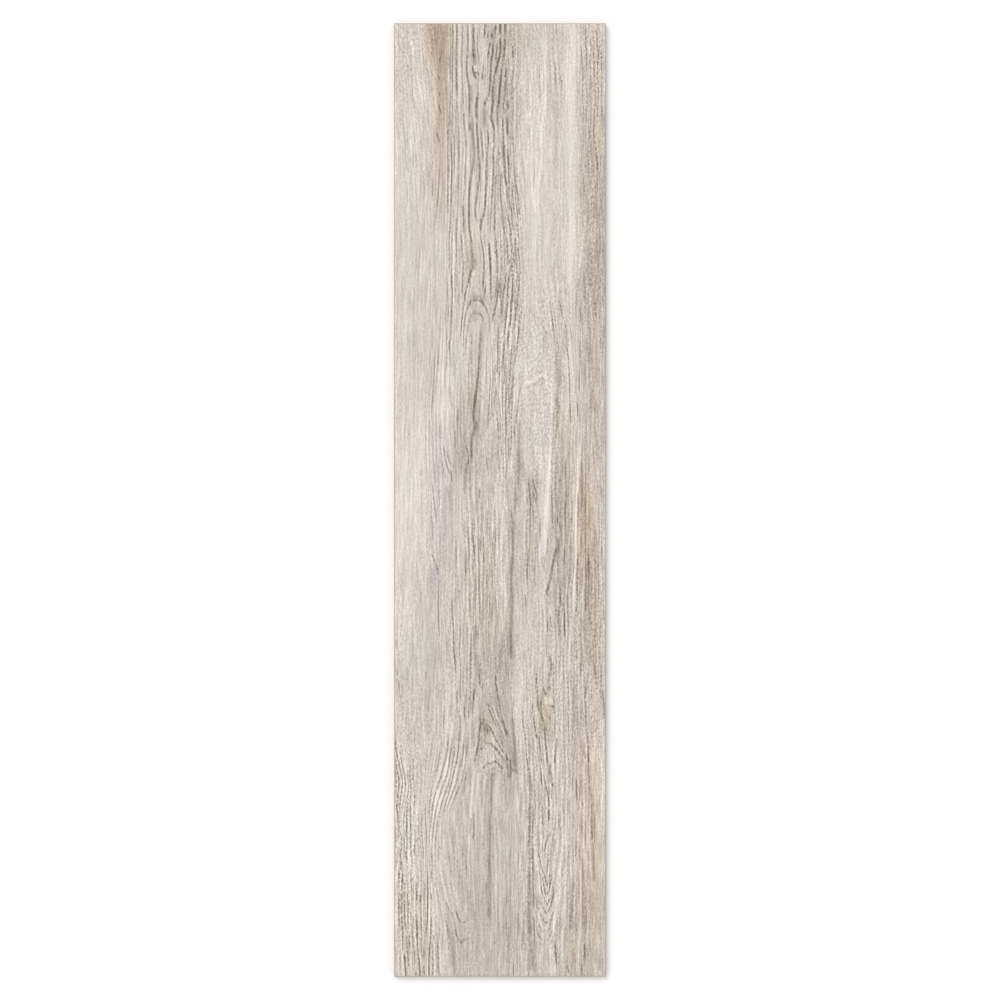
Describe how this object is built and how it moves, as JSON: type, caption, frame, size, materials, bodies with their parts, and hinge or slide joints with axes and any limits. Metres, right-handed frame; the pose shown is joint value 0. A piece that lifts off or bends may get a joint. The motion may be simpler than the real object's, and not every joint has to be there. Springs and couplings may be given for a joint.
{
  "type": "wood look porcelain plank tile",
  "caption": "Long rectangular porcelain floor and wall tile with a matt wood grain face, square ground edges and a ribbed back for mortar.",
  "frame": {"origin": "middle of the back, on the plane of the rib tops that the tile beds on", "axes": "+X across the plank, +Y along the plank as the grain runs, towards the picture's top, +Z out of the printed face"},
  "size_m": [0.2, 0.9, 0.0095],
  "materials": {
    "printed_porcelain": "matt glaze printed with pale greige oak grain on a fired porcelain body"
  },
  "bodies": {
    "root": {"plank_tile": "printed_porcelain"}
  },
  "joints": []
}
